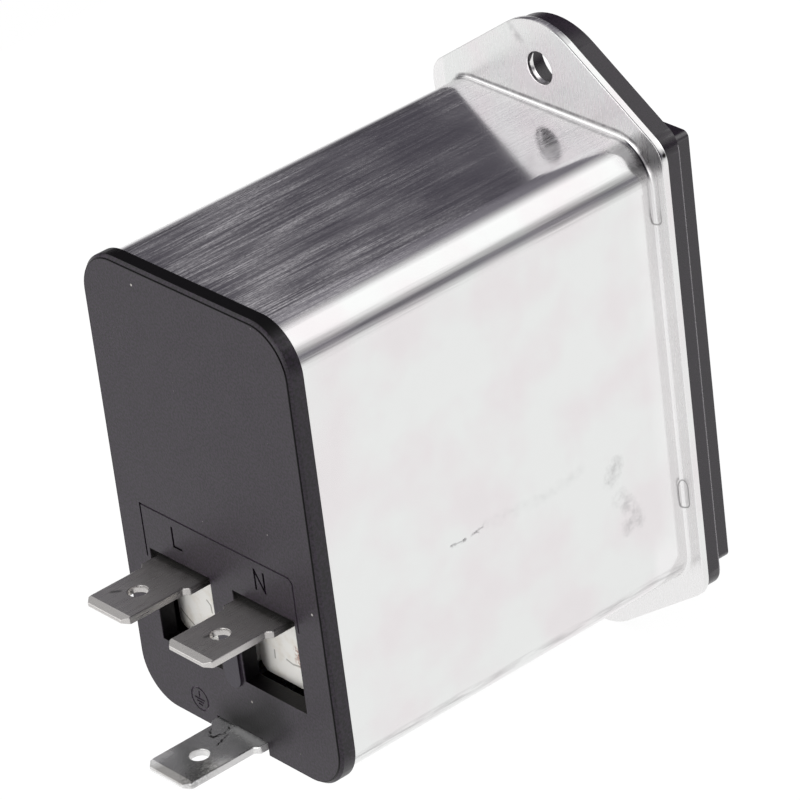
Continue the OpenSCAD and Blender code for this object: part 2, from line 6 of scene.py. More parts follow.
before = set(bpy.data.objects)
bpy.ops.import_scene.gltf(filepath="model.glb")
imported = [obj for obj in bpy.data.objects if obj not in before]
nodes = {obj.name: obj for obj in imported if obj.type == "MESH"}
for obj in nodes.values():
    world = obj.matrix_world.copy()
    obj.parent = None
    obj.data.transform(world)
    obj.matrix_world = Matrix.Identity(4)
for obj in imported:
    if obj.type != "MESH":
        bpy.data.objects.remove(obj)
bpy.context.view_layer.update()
scene = bpy.context.scene
mm = 0.001


def linear(hexColour):
    parts = [int(hexColour[i:i + 2], 16) / 255 for i in (1, 3, 5)]
    return tuple(c / 12.92 if c <= 0.04045 else ((c + 0.055) / 1.055) ** 2.4 for c in parts) + (1.0,)


def add(tree, kind, inputs=(), **settings):
    # inputs by name, or listed in the order of the live sockets; a node as input means its first live output
    node = tree.nodes.new("ShaderNode" + kind)
    for name, value in settings.items():
        setattr(node, name, value)
    if isinstance(inputs, dict):
        pairs = [(node.inputs[name], value) for name, value in inputs.items()]
    else:
        pairs = zip([socket for socket in node.inputs if socket.enabled], inputs)
    for socket, value in pairs:
        if isinstance(value, bpy.types.Node):
            value = next(output for output in value.outputs if output.enabled)
        if isinstance(value, bpy.types.NodeSocket):
            tree.links.new(value, socket)
        else:
            socket.default_value = value
    return node


def overlap(tree, first, *others):
    # where all the masks hold
    for mask in others:
        first = add(tree, "Math", [first, mask], operation="MULTIPLY")
    return first


def either(tree, first, *others):
    # where any of the masks holds
    for mask in others:
        first = add(tree, "Math", [first, mask], operation="MAXIMUM")
    return first


def within(tree, coords, spans):
    # a mask from spans of coordinates: name, from, to, and the share at both ends
    return overlap(tree, *[add(tree, "MapRange", [coords[name], *span]) for name, *span in spans])


def layers(tree, colour, coats):
    # each tone covers what is under it where its mask holds
    for mask, tone in coats:
        tone = linear(tone) if isinstance(tone, str) else tone
        colour = add(tree, "Mix", [mask, colour, tone], data_type="RGBA")
    return colour


def material(name):
    made = bpy.data.materials.new(name)
    made.use_nodes = True
    made.node_tree.nodes.clear()
    return made, made.node_tree


def millimetres(tree):
    # object coordinates in mm, so that pattern scales are real sizes
    return add(tree, "VectorMath", [add(tree, "TexCoord").outputs["Object"], 1 / mm], operation="SCALE")


def facingOf(tree):
    # which way the surface looks, split by axis
    return add(tree, "SeparateXYZ", [add(tree, "TexCoord").outputs["Normal"]])


def uneven(tree, point, size, detail=3.0, roughness=0.5, span=None):
    # size is the pattern's real size in mm, one number or one for each axis
    size = size if isinstance(size, tuple) else (size,) * 3
    counted = add(tree, "VectorMath", [point, tuple(1 / s for s in size)], operation="MULTIPLY")
    pattern = add(tree, "TexNoise", {"Vector": counted, "Scale": 1.0, "Detail": detail, "Roughness": roughness})
    return add(tree, "MapRange", [pattern, *span]) if span else pattern


def lineDistance(tree, point, start, end):
    # distance in mm from the line between two places on the object
    along = Vector(end) - Vector(start)
    fromStart = add(tree, "VectorMath", [point, start], operation="SUBTRACT")
    share = add(tree, "VectorMath", [fromStart, along / along.length_squared], operation="DOT_PRODUCT")
    kept = add(tree, "Math", [share, 0.0], operation="ADD", use_clamp=True)
    foot = add(tree, "VectorMath", [along, kept], operation="SCALE")
    return add(tree, "VectorMath", [fromStart, foot], operation="DISTANCE")


def marks(tree, point, lines, half, fade, strength=1.0):
    # full strength on the given lines, nothing past their soft edge
    return either(tree, *[
        add(tree, "MapRange", [lineDistance(tree, point, *line), half, half + fade, strength, 0.0])
        for line in lines])


def onFace(lines, axis, level):
    # places given by two numbers on a flat face, with the face's own level put in
    return [[(*place[:axis], level, *place[axis:]) for place in line] for line in lines]


def surface(tree, **inputs):
    shader = add(tree, "BsdfPrincipled", {name.replace("_", " "): value for name, value in inputs.items()})
    add(tree, "OutputMaterial", [shader])
    return shader


def dress(names, made):
    for name in names:
        nodes[name].data.materials.clear()
        nodes[name].data.materials.append(made)


# Camera, with lengths in mm, angles in degrees and the focal length in pixels
view = {
    "azimuth": 231.906, "elevation": 29.474, "roll": -7.3145, "distance": 549.101, "right": -16.868, "up": -7.188,
    "focal": 5475.29, "picture": 800, "sensor": 36.0, "near": 20, "far": 20000,
}
azimuth, elevation, roll = (math.radians(view[name]) for name in ("azimuth", "elevation", "roll"))
flat = math.cos(elevation)
back = Vector((math.sin(azimuth) * flat, -math.cos(azimuth) * flat, math.sin(elevation)))
level = Vector((math.cos(azimuth), math.sin(azimuth), 0))
upright = back.cross(level)
right = math.cos(roll) * level + math.sin(roll) * upright
up = back.cross(right)
aim = (view["right"] * right + view["up"] * up) * mm
camera = bpy.data.objects.new("camera", bpy.data.cameras.new("camera"))
camera.data.sensor_width = view["sensor"]
camera.data.lens = view["focal"] / view["picture"] * view["sensor"]
camera.data.clip_start = view["near"] * mm
camera.data.clip_end = view["far"] * mm
turned = Matrix((right, up, back)).transposed().to_4x4()
camera.matrix_world = Matrix.Translation(aim + view["distance"] * mm * back) @ turned
scene.collection.objects.link(camera)
scene.camera = camera
scene.view_settings.view_transform = "Standard"
print("camera", [round(v, 4) for v in camera.location])

# Floor
ground = {"z": -0.0346, "half": 0.16, "white": "#ffffff", "pale": "#e6e6e6", "shadowShare": "#5f5f5f", "glow": 0.95}
floorMesh = bpy.data.meshes.new("floor")
half = ground["half"]
floorMesh.from_pydata([(-half, -half, 0), (half, -half, 0), (half, half, 0), (-half, half, 0)], [], [(0, 1, 2, 3)])
floor = bpy.data.objects.new("floor", floorMesh)
floor.location.z = ground["z"]
scene.collection.objects.link(floor)
floorPaper, tree = material("white paper")  # plain ground on which only a faint shadow shows
path = add(tree, "LightPath")
seen = add(tree, "Math", [path.outputs["Is Camera Ray"], path.outputs["Is Glossy Ray"]], operation="ADD")
seen = add(tree, "Math", [seen, path.outputs["Is Transmission Ray"]], operation="ADD", use_clamp=True)
matte = add(tree, "BsdfDiffuse", {"Color": linear(ground["pale"])})
shaded = add(tree, "BsdfDiffuse", {"Color": linear(ground["shadowShare"])})
glow = add(tree, "Emission", {"Color": linear(ground["white"]), "Strength": ground["glow"]})
add(tree, "OutputMaterial", [add(tree, "MixShader", [seen, matte, add(tree, "AddShader", [shaded, glow])])])
floorMesh.materials.append(floorPaper)

# Studio light, with angles in degrees
studio = {
    "ambient": 0.07, "white": "#ffffff", "dim": "#e2dcf2", "whiteFrom": (0.1, 0.5), "horizon": (12, -14),
    "panels": {
        "edge": {"axis": (-0.416, -0.537, 0.732), "inner": 14, "outer": 44, "radiance": 1.15},
        "top": {"axis": (0.35, -0.52, 0.78), "inner": 4, "outer": 36, "radiance": 0.19},
        "left": {"axis": (0.69, 0.55, 0.47), "inner": 18, "outer": 33, "radiance": 1.12},
        "side": {"axis": (-0.83, -0.54, 0.15), "inner": 4, "outer": 18, "radiance": 0.13},
        "over": {"axis": (0.6, 0.1, 0.79), "inner": 20, "outer": 38, "radiance": 0.6},
        "rear": {"axis": (-0.1, 0.97, 0.2), "inner": 20, "outer": 40, "radiance": 2.8},
        "front": {"axis": (-0.1, -0.95, 0.3), "inner": 12, "outer": 32, "radiance": 1.5},
    },
}
world = bpy.data.worlds.new("studio")
world.use_nodes = True
scene.world = world
tree = world.node_tree
tree.nodes.clear()
toward = add(tree, "TexCoord").outputs["Generated"]
radiance = studio["ambient"]
for panel in studio["panels"].values():
    axis = Vector(panel["axis"]).normalized()
    along = add(tree, "VectorMath", [toward, axis], operation="DOT_PRODUCT")
    angle = add(tree, "Math", [along], operation="ARCCOSINE")
    reach = [math.radians(panel[name]) for name in ("inner", "outer")]
    lobe = add(tree, "MapRange", [angle, *reach, panel["radiance"], 0.0], interpolation_type="SMOOTHSTEP")
    radiance = add(tree, "Math", [lobe, radiance], operation="ADD")
rise = add(tree, "SeparateXYZ", [toward]).outputs["Z"]
horizon = [math.sin(math.radians(angle)) for angle in studio["horizon"]]
belowHorizon = add(tree, "MapRange", [rise, *horizon], interpolation_type="SMOOTHSTEP")
path = add(tree, "LightPath")
mirrored = overlap(tree, path.outputs["Is Glossy Ray"], belowHorizon)  # metal shows the white ground out to its end
seen = add(tree, "Math", [path.outputs["Is Camera Ray"], path.outputs["Is Transmission Ray"]], operation="ADD")
seen = add(tree, "Math", [seen, mirrored], operation="ADD", use_clamp=True)
bright = add(tree, "MapRange", [radiance, *studio["whiteFrom"]])
hue = layers(tree, linear(studio["dim"]), [(bright, studio["white"])])
lamps = add(tree, "Background", {"Color": hue, "Strength": radiance})
whiteSky = add(tree, "Background", {"Color": linear(studio["white"]), "Strength": 1.0})
add(tree, "OutputWorld", [add(tree, "MixShader", [seen, lamps, whiteSky])])
print("stage")

# Metal can
can = {
    "tint": "#e6e7e6", "warmTint": "#e7e3e4", "topShade": "#d5d2d5", "paintedLightTone": "#eeeded", "wallRootShade": "#b6b4b6",
    "creaseShade": "#6f6d70", "cornerShade": "#5f5d5f", "wearAndPaintedLight": "#8f8d8e", "stain": "#3a3835", "sheared": "#f4f3f2",
    "bevelTone": "#b0aeac", "paintedSheen": "#ffffff",
    "wallX": 14.85, "topZ": 25.0, "tabTop": -23.85, "cornerX": 10.35, "cornerZ": 20.5, "cornerR": 4.5,
    "leastReach": 0.01, "creaseOut": 0.42, "creaseSkew": 0.012, "turnLine": 0.4,
    "patterns": {  # sizes in mm; span maps the noise to a share
        "cloud": {"size": 8.0},
        "fret": {"size": 0.9},
        "light": {"size": (0.15, 6.0, 0.15), "roughness": 0.6, "span": (0.22, 0.8)},  # fine draw lines
        "heavy": {"size": (0.3, 14.0, 0.3), "roughness": 0.55, "span": (0.42, 0.62)},  # broad draw lines
        "patch": {"size": (2.6, 12.0, 2.6), "detail": 2.0, "span": (0.36, 0.64, 0.35, 1.0)},
        "grit": {"size": (0.11, 0.5, 0.11), "roughness": 0.65, "span": (0.32, 0.68, 0.35, 1.65)},
        "lines": {"size": (0.22, 1.0, 5.0), "detail": 4.0, "roughness": 0.6, "span": (0.3, 0.72)},  # on the flange
        "underShadeNoise": {"size": (0.5, 4.0, 0.5), "span": (0.4, 0.65, 0.02, 0.4)},
        "speckle": {"size": 0.22, "span": (0.42, 0.56)},
    },
    "zones": {  # coordinate in mm, or which way a face looks; from, to, and the share at both ends
        "flange": [("endwise", 0.6, 0.8)],
        "top": [("upward", 0.84, 0.97)],
        "turn": [("upward", 0.1, 0.25), ("upward", 0.5, 0.65, 1.0, 0.0)],
        "underTurn": [("offTurn", 0.02, 0.2, 1.0, 0.0), ("y", 0.4, 0.8), ("x", -10.0, -12.0)],
        "body": [("y", 0.4, 0.8)],
        "tab": [("y", 45.2, 45.5)],
        "tabBevel": [("y", 55.95, 56.05)],
        "sheared": [("y", 45.2, 45.5), ("level", 0.25, 0.5, 1.0, 0.0)],
        "capEnd": [("y", 14.0, 44.0, 0.2, 0.85)],
        "flangeEnd": [("y", 3.0, 9.0, 0.8, 0.05)],
        "lightStreak": [("upward", 0.84, 0.97), ("heavy", 0.0, 1.0, 1.15, 0.28)],
        "stamps": [("z", 17.4, 18.8, 1.0, 0.3)],
        "nearRoot": [("y", 0.1, 1.7, 1.0, 0.0), ("y", -0.1, 0.1), ("z", 8.0, 22.0, 0.0, 0.45)],
        "besideWall": [("acrossX", 14.55, 14.85), ("y", 0.3, 3.4, 1.0, 0.0)],
        "besideFoot": [("z", -16.0, -20.0)],
        "besideDepth": [("y", -0.1, -0.02), ("y", 4.0, 5.0, 1.0, 0.0)],
        "corner": [("rise", 0.36, 0.54), ("rise", 0.72, 0.86, 1.0, 0.0), ("y", -0.15, -0.05), ("x", -8.0, -10.0)],
        "fillet": [("reach", 4.45, 4.52), ("reach", 4.85, 5.2, 1.0, 0.25)],
        "filletFoot": [("y", 0.6, 1.1, 0.6, 0.0)],
        "filletDepth": [("y", 0.6, 1.1, 1.0, 0.0)],
        "paintedGlow": [("rise", 0.6, 0.7), ("rise", 0.97, 0.99, 1.0, 0.0), ("y", 0.4, 0.8), ("y", 2.2, 3.2, 1.0, 0.0)],
        "earRoot": [("rise", 0.93, 0.98), ("y", 0.3, 1.8, 0.9, 0.1), ("y", 1.8, 2.8, 1.0, 0.0), ("y", -0.1, 0.0),
                    ("reach", 4.6, 4.8, 1.0, 0.0)],
        # painted shade: a dark line on the flange along the root of the upper corner, broken up by the fret pattern
        "creaseShade": [("offCrease", 0.06, 0.26, 1.0, 0.0), ("y", -0.15, -0.05), ("y", 0.3, 0.5, 1.0, 0.0),
                   ("rise", 0.8, 0.9), ("fret", 0.35, 0.6, 0.5, 0.8)],
        "warm": [("cloud", 0.42, 0.62)],
        "cloudHaze": [("cloud", 0.4, 0.75, 0.0, 0.065)],
        "flangeHaze": [("lines", 0.0, 1.0, 0.03, 0.18), ("z", -16.0, -22.0, 1.0, 0.3)],
        "tabHaze": [("speckle", 0.0, 1.0, 0.08, 0.18)],
        "wallRough": [("cloud", 0.35, 0.75, 0.11, 0.16)],
        "flangeRough": [("lines", 0.0, 1.0, 0.25, 0.31)],
    },
    "rag": 0.4545455, "ragReach": 0.9,  # how finely and how far worn lines wander, in mm
    "wear": [  # lines on a face, half width and fade in mm, and how the fretting breaks them up
        {"fret": (0.42, 0.6, 0.1, 0.9), "mark": {
            "face": "wall", "half": 0.02, "fade": 0.22,
            "lines": [((30.2, -5.3), (28.3, -5.47)), ((27.4, -5.35), (26.0, -5.14))]}},  # scratch
        {"fret": (0.4, 0.65, 0.02, 0.09), "mark": {
            "face": "wall", "half": 0.05, "fade": 0.8,
            "lines": [((26.0, -5.14), (17.6, -5.6)), ((17.6, -5.6), (13.0, -5.1))]}},  # its faint end
        {"fret": (0.38, 0.65, 0.03, 0.3), "mark": {
            "face": "wall", "half": 0.1, "fade": 1.2,
            "lines": [((8.4, -6.6), (9.2, -7.9)), ((8.3, -10.4), (7.0, -12.4)), ((7.0, -12.4), (6.3, -13.9)),
                      ((7.0, -12.9), (7.4, -14.1))]}},  # scuff
        {"fret": (0.38, 0.6, 0.0, 0.4), "mark": {
            "face": "ear", "half": 0.05, "fade": 0.7,
            "lines": [((3.7, 32.8), (3.1, 32.2)), ((3.1, 32.2), (2.4, 31.4))]}},  # scuff on the ear
    ],
    "scored": {  # straight core of the scratch
        "face": "wall", "half": 0.02, "fade": 0.1, "strength": 0.45,
        "lines": [((30.2, -5.3), (28.3, -5.47)), ((27.4, -5.35), (26.0, -5.14))]},
    "stamps": [((0.1, -12.9), (0.1, -14.7)), ((0.1, 17.4), (0.1, 22.6))], "stampHalf": 0.7,
    "stampRim": (0.02, 0.13, 0.75, 0.0),
    "nick": (-16.3, -0.5, 24.4), "nickSpan": (0.16, 0.32),
    "tabLines": {
        "face": "tab", "half": 0.05, "fade": 0.12,
        "lines": [((2.6, 48.8), (2.05, 49.6)), ((2.05, 49.6), (1.3, 49.75)), ((1.3, 49.75), (1.05, 48.6)),
                  ((1.05, 48.6), (1.35, 47.5)), ((-0.1, 50.3), (0.55, 48.6))]},
    "tabStain": {
        "face": "tab", "half": 0.3, "fade": 1.3, "strength": 0.55, "lines": [((-2.0, 53.5), (-2.6, 55.9))]},
    "tabPaintedSheen": {
        "face": "tab", "half": 0.2, "fade": 1.4, "strength": 0.8,
        "lines": [((2.8, 54.6), (2.8, 56.0)), ((-2.9, 51.7), (-2.7, 52.3)), ((0.5, 47.3), (-3.0, 47.6))]},
    "holeMirrorHaze": {  # painted reflection: haze where the upper hole mirrors in the top
        "face": "top", "half": 0.5, "fade": 0.9, "strength": 0.45, "lines": [((-7.6, 5.6), (-8.0, 6.6))]},
    "turnShare": 0.4, "streakHaze": 1.25, "paintedGlowHaze": 0.3, "paintedSheenHaze": 0.5, "shearedHaze": 0.6, "wearAndPaintedHaze": 0.4,
    "tabRough": 0.22, "wearAndPaintedRough": 0.25, "grooveStrength": 0.5, "grooveDepth": 0.004,
}
canSteel, tree = material("plated drawn steel")  # mirror-like walls with draw lines on top, satin flange
point = millimetres(tree)
place = add(tree, "SeparateXYZ", [point])
facing = facingOf(tree)
faces = {"wall": (0, -can["wallX"]), "ear": (1, 0.0), "tab": (2, can["tabTop"]), "top": (2, can["topZ"])}


def drawn(path, face, lines, half, fade, strength=1.0):
    return marks(tree, path, onFace(lines, *faces[face]), half, fade, strength)


coords = {name: uneven(tree, point, **pattern) for name, pattern in can["patterns"].items()}
coords.update(x=place.outputs["X"], y=place.outputs["Y"], z=place.outputs["Z"], upward=facing.outputs["Z"])
fromTurn = add(tree, "Math", [coords["upward"], can["turnLine"]], operation="ADD")
for name, signed in (("acrossX", coords["x"]), ("endwise", facing.outputs["Y"]), ("level", coords["upward"]),
                     ("offTurn", fromTurn)):
    coords[name] = add(tree, "Math", [signed], operation="ABSOLUTE")
pastSide = either(tree, add(tree, "Math", [coords["acrossX"], can["cornerX"]], operation="SUBTRACT"), 0.0)
pastTop = either(tree, add(tree, "Math", [coords["z"], can["cornerZ"]], operation="SUBTRACT"), 0.0)
fromCorner = add(tree, "CombineXYZ", {"X": pastSide, "Z": pastTop})
coords["reach"] = add(tree, "VectorMath", [fromCorner], operation="LENGTH")  # from the upper corners' centres
coords["rise"] = add(tree, "Math", [pastTop, either(tree, coords["reach"], can["leastReach"])], operation="DIVIDE")
skewed = add(tree, "Math", [coords["x"], can["creaseSkew"], coords["reach"]], operation="MULTIPLY_ADD")
fromCrease = add(tree, "Math", [skewed, can["cornerR"] + can["creaseOut"]], operation="SUBTRACT")
coords["offCrease"] = add(tree, "Math", [fromCrease], operation="ABSOLUTE")
zone = {name: within(tree, coords, spans) for name, spans in can["zones"].items()}

wander = uneven(tree, point, can["rag"]).outputs["Color"]
wander = add(tree, "VectorMath", [wander, (0.5, 0.5, 0.5)], operation="SUBTRACT")
wander = add(tree, "VectorMath", [wander, can["ragReach"]], operation="SCALE")
ragged = add(tree, "VectorMath", [point, wander], operation="ADD")
outward = add(tree, "Math", [coords["x"], -1.0, -can["wallX"]], operation="MULTIPLY_ADD")
unfolded = add(tree, "CombineXYZ", {  # flange and wall laid flat beside their root
    "X": add(tree, "Math", [outward, either(tree, coords["y"], 0.0)], operation="SUBTRACT"), "Z": coords["z"]})
rims = []
for oblong in onFace(can["stamps"], *faces["ear"]):
    fromRim = add(tree, "Math", [lineDistance(tree, unfolded, *oblong), can["stampHalf"]], operation="SUBTRACT")
    offRim = add(tree, "Math", [fromRim], operation="ABSOLUTE")
    rims.append(add(tree, "MapRange", [offRim, *can["stampRim"]]))
fretted = [
    overlap(tree, drawn(ragged, **wear["mark"]), add(tree, "MapRange", [coords["fret"], *wear["fret"]]))
    for wear in can["wear"]]
# real scratches and scuffs, plus painted shade on the stamp outlines and a painted dark reflection line along the
# lower rounded edge
wearAndPaintedLight = either(
    tree, *fretted, drawn(point, **can["scored"]), overlap(tree, either(tree, *rims), zone["stamps"]),
    overlap(tree, zone["underTurn"], coords["underShadeNoise"]))
fromNick = add(tree, "VectorMath", [point, can["nick"]], operation="DISTANCE")
stain = either(
    tree, drawn(ragged, **can["tabLines"]), overlap(tree, drawn(ragged, **can["tabStain"]), coords["speckle"]),
    add(tree, "MapRange", [fromNick, *can["nickSpan"], 1.0, 0.0]))
# painted sheen: paler, hazier strips on the earth tab
paintedSheen = drawn(ragged, **can["tabPaintedSheen"])
# painted shade on the wall close to the flange root, stronger towards the top
nearRoot = overlap(tree, zone["nearRoot"], add(tree, "Math", [1.0, zone["flange"]], operation="SUBTRACT"))
# painted light: a paler tone on the side walls just behind the flange and on the lower part
besideGlow = overlap(tree, either(tree, zone["besideWall"], zone["besideFoot"]), zone["besideDepth"])
# painted shade where the upper highlight runs into the flange at the corner
cornerShade = overlap(tree, either(tree, zone["fillet"], zone["filletFoot"]), zone["corner"], zone["filletDepth"])
# painted highlight: a paler, hazier strip on the upper corner near the flange and along the ear root
paintedGlow = either(tree, zone["paintedGlow"], zone["earRoot"])
lightStreak = overlap(
    tree, coords["light"], coords["patch"], coords["grit"], either(tree, zone["capEnd"], zone["flangeEnd"]),
    zone["lightStreak"])
# real draw lines, darkened only in the dark band under the upper highlight as painted shade
turnShadeStreak = overlap(tree, coords["heavy"], zone["turn"], zone["body"], can["turnShare"])

onTab = layers(tree, linear(can["tint"]), [(zone["tabBevel"], can["bevelTone"]), (paintedSheen, can["paintedSheen"])])
colour = layers(tree, linear(can["tint"]), [
    # painted shade: the upward faces of the can take a darker, bluish tone
    (zone["warm"], can["warmTint"]), (zone["top"], can["topShade"]), (besideGlow, can["paintedLightTone"]),
    (nearRoot, can["wallRootShade"]), (paintedGlow, can["paintedLightTone"]), (zone["creaseShade"], can["creaseShade"]),
    (cornerShade, can["cornerShade"]), (turnShadeStreak, can["wearAndPaintedLight"]), (wearAndPaintedLight, can["wearAndPaintedLight"]), (zone["tab"], onTab),
    (zone["sheared"], can["sheared"]), (stain, can["stain"]),
])
wallHaze = add(tree, "Math", [lightStreak, can["streakHaze"], zone["cloudHaze"]], operation="MULTIPLY_ADD")
# painted light: haze on the mirrored hole and on the paler corner strip
paintedLight = either(tree, drawn(point, **can["holeMirrorHaze"]), overlap(tree, paintedGlow, can["paintedGlowHaze"]))
wallHaze = add(tree, "Math", [wallHaze, paintedLight], operation="ADD")
tabHaze = either(
    tree, zone["tabHaze"], overlap(tree, paintedSheen, can["paintedSheenHaze"]),
    overlap(tree, zone["sheared"], can["shearedHaze"]))
haze = add(tree, "Mix", [zone["flange"], wallHaze, zone["flangeHaze"]], data_type="FLOAT")
haze = add(tree, "Mix", [zone["tab"], haze, tabHaze], data_type="FLOAT")
haze = add(tree, "Math", [wearAndPaintedLight, can["wearAndPaintedHaze"], haze], operation="MULTIPLY_ADD")
metallic = add(tree, "Math", [1.0, haze], operation="SUBTRACT", use_clamp=True)
rough = add(tree, "Mix", [zone["flange"], zone["wallRough"], zone["flangeRough"]], data_type="FLOAT")
rough = add(tree, "Mix", [zone["tab"], rough, can["tabRough"]], data_type="FLOAT")
rough = add(tree, "Math", [wearAndPaintedLight, can["wearAndPaintedRough"], rough], operation="MULTIPLY_ADD", use_clamp=True)
topLines = overlap(tree, coords["heavy"], zone["top"], zone["body"])
grooves = add(tree, "Mix", [zone["flange"], topLines, coords["lines"]], data_type="FLOAT")
bump = add(tree, "Bump", {
    "Height": grooves, "Strength": can["grooveStrength"], "Distance": can["grooveDepth"] * mm})
surface(tree, Base_Color=colour, Metallic=metallic, Roughness=rough, Normal=bump)
dress(["metal_can"], canSteel)

# What the moulded pieces share
plastic = {
    "speckShare": (0.66, 0.9), "grainSpan": (0.38, 0.62), "mottleShare": 0.6, "roughSpan": (0.5, 1.1),
    "bumpStrength": 0.5,
}


def mouldedPlastic(name, spec, extras=None):
    made, tree = material(name)
    point = millimetres(tree)
    place = add(tree, "SeparateXYZ", [point])
    grain = uneven(tree, point, spec["grain"])
    mottle = uneven(tree, point, spec["mottle"])
    cells = add(tree, "TexVoronoi", {"Vector": point, "Scale": 1 / spec["speckCell"]})
    chance = add(tree, "SeparateXYZ", [cells.outputs["Color"]])  # some of the cells hold a speck of dust
    fromSpeck = add(tree, "Math", [cells, spec["speckCell"]], operation="MULTIPLY")
    speck = add(tree, "MapRange", [fromSpeck, spec["speckHalf"], spec["speckHalf"] * 2, 1.0, 0.0])
    dust = overlap(tree, speck, add(tree, "MapRange", [chance, *plastic["speckShare"]]))
    for x, z in spec.get("dustSpots", ()):
        apart = add(tree, "VectorMath", [point, (x, spec["face"], z)], operation="DISTANCE")
        dust = either(tree, dust, add(tree, "MapRange", [apart, *spec["spotSpan"], 1.0, 0.0]))
    pale = add(tree, "MapRange", [grain, *plastic["grainSpan"]])
    colour = layers(tree, linear(spec["tint"][0]), [(pale, spec["tint"][1]), (dust, spec["dust"])])
    gloss = spec["specular"]
    if extras:
        colour, gloss = extras(tree, spec, point, place, colour)
    coarse = add(tree, "Math", [mottle, plastic["mottleShare"], grain], operation="MULTIPLY_ADD")
    rough = add(tree, "MapRange", [coarse, *plastic["roughSpan"], *spec["rough"]])
    bump = add(tree, "Bump", {"Height": grain, "Strength": plastic["bumpStrength"], "Distance": spec["bump"] * mm})
    shader = surface(tree, Base_Color=colour, Roughness=rough, Normal=bump, Specular_IOR_Level=gloss)
    shader.inputs["Specular IOR Level"].default_value = spec["specular"]  # stays where an export drops the link
    return made


# Rear cap
cap = {
    "tint": ("#060207", "#2c2130"), "shade": "#050305", "inside": "#0c0a0d", "wearAndPaintedLight": "#5a525c", "bead": "#2a2530",
    "dust": "#b4b0ac", "grain": 0.26, "mottle": 2.2, "speckCell": 1.7, "speckHalf": 0.035, "bump": 0.03,
    "rough": (0.34, 0.44), "specular": 0.415, "dull": 0.14, "tabPatchGloss": 0.12,
    "face": 47.05, "half": (15.25, 25.55), "corner": 5.0,
    "dustSpots": [(12.28, -9.54), (8.51, -13.75), (-0.09, -9.79), (-13.88, -5.05), (-2.25, -19.64), (7.19, 23.58)],
    "spotSpan": (0.09, 0.162),
    "windowReach": 11.1, "windowTop": -6.8, "windowFoot": -17.7, "windowDepth": 0.12,
    "rimFacing": (0.7, 0.9), "edgeShadeLine": (0.42, 0.27), "edgeSoft": 0.03,
    "tabPatch": [((0.4, -23.6), (-2.4, -22.2)), ((-2.4, -22.2), (-5.2, -19.8))], "tabPatchSize": (0.85, 3.0),
    "tabPatchHeight": (-22.5, -19.5, 1.0, 0.65),
    "frameLine": [((10.9, -2.1), (-10.9, -2.1)), ((-10.9, -2.1), (-11.4, -2.6)), ((-11.4, -2.6), (-11.4, -8.0))],
    "lineSize": (0.4, 0.1), "sign": (6.3, 47.05, -22.75), "signReach": 1.6, "grooveDepth": 0.05,
    "beadRise": (0.12, 0.17),
}


def capMarks(tree, spec, point, place, colour):
    x, y, z = (place.outputs[axis] for axis in "XYZ")
    face = spec["face"]
    inside = overlap(tree, *[add(tree, "Math", [value, limit], operation=test) for value, test, limit in (
        (add(tree, "Math", [x], operation="ABSOLUTE"), "LESS_THAN", spec["windowReach"]),
        (z, "LESS_THAN", spec["windowTop"]), (z, "GREATER_THAN", spec["windowFoot"]),
        (y, "LESS_THAN", face - spec["windowDepth"]))])  # painted shade and dull gloss inside the windows
    # painted shade: the upward faces and a thin step line along the edges of the face take the dark shade tone
    upwardShade = add(tree, "MapRange", [facingOf(tree).outputs["Z"], *spec["rimFacing"]])
    insetX, insetZ = (half - spec["corner"] for half in spec["half"])
    past = add(tree, "VectorMath", [point], operation="ABSOLUTE")
    past = add(tree, "VectorMath", [past, (insetX, 1e3, insetZ)], operation="SUBTRACT")  # depth doesn't count
    past = add(tree, "VectorMath", [past, (0.0, 0.0, 0.0)], operation="MAXIMUM")
    reach = add(tree, "VectorMath", [past], operation="LENGTH")
    lineStart, lineEnd = (spec["corner"] - inset for inset in spec["edgeShadeLine"])
    edgeShadeLine = overlap(
        tree, add(tree, "MapRange", [reach, lineStart, lineStart + spec["edgeSoft"]]),
        add(tree, "MapRange", [reach, lineEnd - spec["edgeSoft"], lineEnd, 1.0, 0.0]),
        add(tree, "Math", [y, face - spec["edgeShadeLine"][0]], operation="GREATER_THAN"))
    shade = either(tree, upwardShade, edgeShadeLine)
    # a darker, duller patch on the face just above the earth tab, weaker upwards
    tabPatchMask = marks(tree, point, onFace(spec["tabPatch"], 1, face), *spec["tabPatchSize"])
    tabPatchMask = overlap(tree, tabPatchMask, add(tree, "MapRange", [z, *spec["tabPatchHeight"]]))
    # painted light: the floors of the frame line and sign grooves take a paler tone
    fromSign = add(tree, "VectorMath", [point, spec["sign"]], operation="DISTANCE")
    fine = either(
        tree, marks(tree, point, onFace(spec["frameLine"], 1, face), *spec["lineSize"]),
        add(tree, "Math", [fromSign, spec["signReach"]], operation="LESS_THAN"))
    fine = overlap(tree, fine, add(tree, "Math", [y, face - spec["grooveDepth"]], operation="LESS_THAN"))
    onBead = add(tree, "MapRange", [y, *(face + rise for rise in spec["beadRise"])])
    colour = layers(tree, colour, [
        (inside, spec["inside"]), (shade, spec["shade"]), (tabPatchMask, spec["shade"]), (fine, spec["wearAndPaintedLight"]),
        (onBead, spec["bead"]),
    ])
    gloss = add(tree, "MapRange", [either(tree, inside, shade), 0.0, 1.0, spec["specular"], spec["dull"]])
    return colour, add(tree, "Mix", [tabPatchMask, gloss, spec["tabPatchGloss"]], data_type="FLOAT")


dress(["rear_cap"], mouldedPlastic("charcoal moulded plastic", cap, capMarks))  # fine spark grain with dust

